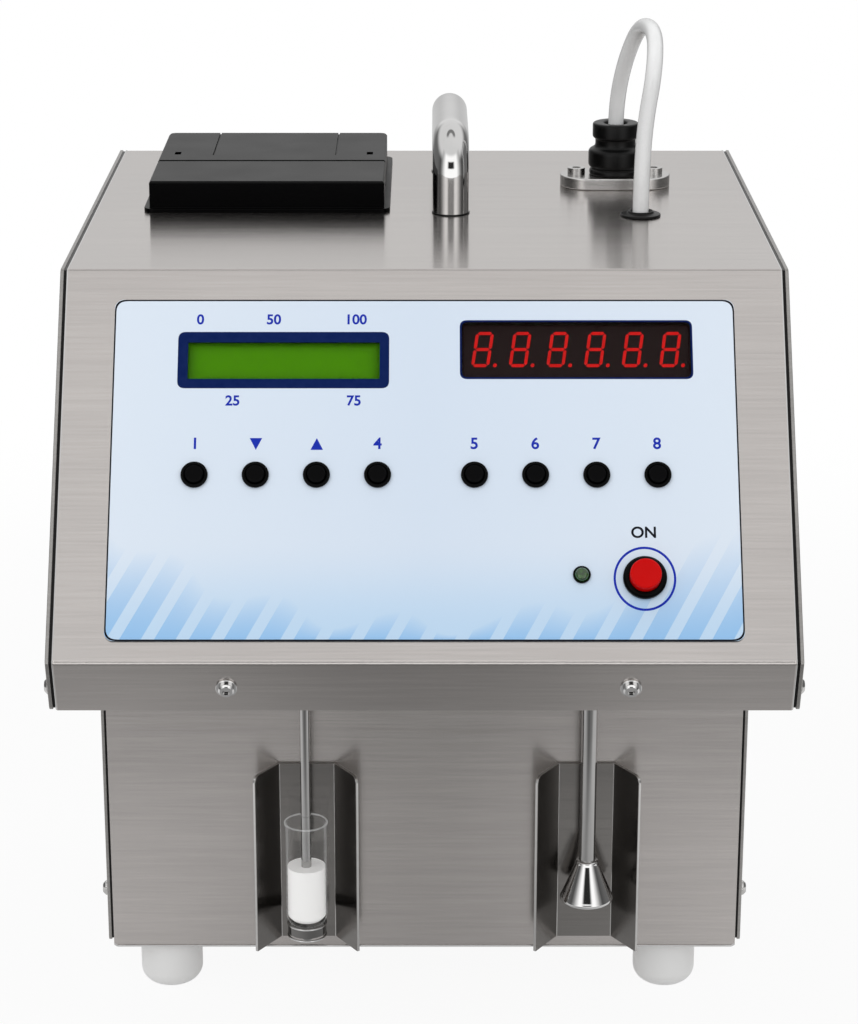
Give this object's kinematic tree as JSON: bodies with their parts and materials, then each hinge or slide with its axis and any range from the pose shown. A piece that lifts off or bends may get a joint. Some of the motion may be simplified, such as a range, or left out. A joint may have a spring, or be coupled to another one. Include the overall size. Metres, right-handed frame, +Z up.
{
  "type": "milk analyzer",
  "caption": "Bench analyzer in bent steel with a leaning control panel, a sample vial and a stirrer under its head, and a small printer, a handle and a hose on top.",
  "frame": {"origin": "on the bench, in the middle of the footprint of the object's bounding box", "axes": "+X to the object's right as seen from the front, +Y to the back, +Z up; the front faces -Y"},
  "size_m": [0.2544, 0.2987, 0.3825],
  "materials": {
    "brushed_sheet": "fine cross-brushed satin stainless",
    "holder_steel": "satin stainless",
    "fastener_steel": "plain bright",
    "polished_steel": "mirror polished",
    "black_rubber": "dull moulded",
    "hose_silicone": "milky translucent",
    "panel_film": "printed film under clear lacquer",
    "clear_window": "clear",
    "green_glass": "backlit",
    "dark_filter": "tinted",
    "lit_red": "lit",
    "black_plastic": "moulded",
    "printer_plastic": "satin moulded",
    "red_plastic": "moulded",
    "green_lens": "tinted lens",
    "circuit_board": "lacquered laminate",
    "standoff_brass": "nickelled",
    "cast_alloy": "plain",
    "motor_paint": "plain",
    "white_plastic": "moulded",
    "paper": "rolled paper",
    "vial_glass": "clear",
    "milk": "liquid"
  },
  "bodies": {
    "cabinet": {"top_cover": "brushed_sheet", "base_chassis": "brushed_sheet", "rear_panel": "brushed_sheet", "left_side_plate": "brushed_sheet", "right_side_plate": "brushed_sheet", "left_holder": "holder_steel", "right_holder": "holder_steel", "vial_seat": "holder_steel", "outlet_flange": "holder_steel", "serial_port": "holder_steel", "case_screws": "fastener_steel", "lip_screws": "fastener_steel", "lip_washers": "fastener_steel", "socket_screws": "fastener_steel", "carry_handle": "polished_steel", "stirrer_cone": "polished_steel", "stirrer_rod": "polished_steel", "sample_tube": "polished_steel", "rubber_stopper": "black_rubber", "tube_grommet": "black_rubber", "side_gaskets": "black_rubber", "silicone_hose": "hose_silicone", "front_overlay": "panel_film", "lcd_window": "clear_window", "lcd_glass": "green_glass", "led_filter": "dark_filter", "digit_segments": "lit_red", "lcd_module": "black_plastic", "digit_display": "black_plastic", "key_bezels": "black_plastic", "push_bezel": "black_plastic", "lamp_clip": "black_plastic", "print_head": "black_plastic", "power_inlet": "black_plastic", "printer_case": "printer_plastic", "indicator_lamp": "green_lens", "front_board": "circuit_board", "main_board": "circuit_board", "board_standoffs": "standoff_brass", "power_supply": "cast_alloy", "sensor_block": "cast_alloy", "stirrer_driver": "cast_alloy", "pump_motor": "motor_paint", "feet": "white_plastic"},
    "key_1_cap": {"key_1": "black_plastic"},
    "key_2_cap": {"key_2": "black_plastic"},
    "key_3_cap": {"key_3": "black_plastic"},
    "key_4_cap": {"key_4": "black_plastic"},
    "key_5_cap": {"key_5": "black_plastic"},
    "key_6_cap": {"key_6": "black_plastic"},
    "key_7_cap": {"key_7": "black_plastic"},
    "key_8_cap": {"key_8": "black_plastic"},
    "push_button": {"push_cap": "red_plastic"},
    "lid": {"printer_lid": "printer_plastic"},
    "platen": {"platen_roller": "black_rubber"},
    "paper": {"paper_roll": "paper"},
    "vial": {"sample_vial": "vial_glass", "milk_sample": "milk"},
    "rotor": {"pump_rotor": "white_plastic"},
    "rocker": {"switch_rocker": "black_plastic"}
  },
  "joints": [
    {"name": "key_1_press", "type": "slide", "parent": "cabinet", "child": "key_1_cap", "axis": [0, 0.8101, -0.5863], "range_m": [0, 0.0008], "stiffness_N_per_m": 400, "springref_m": -0.0008},
    {"name": "key_2_press", "type": "slide", "parent": "cabinet", "child": "key_2_cap", "axis": [0, 0.8101, -0.5863], "range_m": [0, 0.0008], "stiffness_N_per_m": 400, "springref_m": -0.0008},
    {"name": "key_3_press", "type": "slide", "parent": "cabinet", "child": "key_3_cap", "axis": [0, 0.8101, -0.5863], "range_m": [0, 0.0008], "stiffness_N_per_m": 400, "springref_m": -0.0008},
    {"name": "key_4_press", "type": "slide", "parent": "cabinet", "child": "key_4_cap", "axis": [0, 0.8101, -0.5863], "range_m": [0, 0.0008], "stiffness_N_per_m": 400, "springref_m": -0.0008},
    {"name": "key_5_press", "type": "slide", "parent": "cabinet", "child": "key_5_cap", "axis": [0, 0.8101, -0.5863], "range_m": [0, 0.0008], "stiffness_N_per_m": 400, "springref_m": -0.0008},
    {"name": "key_6_press", "type": "slide", "parent": "cabinet", "child": "key_6_cap", "axis": [0, 0.8101, -0.5863], "range_m": [0, 0.0008], "stiffness_N_per_m": 400, "springref_m": -0.0008},
    {"name": "key_7_press", "type": "slide", "parent": "cabinet", "child": "key_7_cap", "axis": [0, 0.8101, -0.5863], "range_m": [0, 0.0008], "stiffness_N_per_m": 400, "springref_m": -0.0008},
    {"name": "key_8_press", "type": "slide", "parent": "cabinet", "child": "key_8_cap", "axis": [0, 0.8101, -0.5863], "range_m": [0, 0.0008], "stiffness_N_per_m": 400, "springref_m": -0.0008},
    {"name": "push_press", "type": "slide", "parent": "cabinet", "child": "push_button", "axis": [0, 0.8101, -0.5863], "range_m": [0, 0.0025], "stiffness_N_per_m": 300, "springref_m": -0.003},
    {"name": "lid_hinge", "type": "hinge", "parent": "cabinet", "child": "lid", "pos_m": [-0.05875, 0.115, 0.3204], "axis": [-1, 0, 0], "range_deg": [0, 80]},
    {"name": "platen_spin", "type": "hinge", "parent": "lid", "child": "platen", "pos_m": [-0.05875, 0.0704, 0.3192], "axis": [1, 0, 0], "continuous": true},
    {"name": "paper_spin", "type": "hinge", "parent": "cabinet", "child": "paper", "pos_m": [-0.05875, 0.0919, 0.3001], "axis": [1, 0, 0], "continuous": true},
    {"name": "vial_lift", "type": "slide", "parent": "cabinet", "child": "vial", "axis": [0, 0, 1], "range_m": [0, 0.01]},
    {"name": "pump_spin", "type": "hinge", "parent": "cabinet", "child": "rotor", "pos_m": [-0.09, -0.09695, 0.2082], "axis": [0, 1, 0], "continuous": true},
    {"name": "switch_tilt", "type": "hinge", "parent": "cabinet", "child": "rocker", "pos_m": [-0.07, 0.14195, 0.074], "axis": [1, 0, 0], "range_deg": [0, 16]}
  ]
}
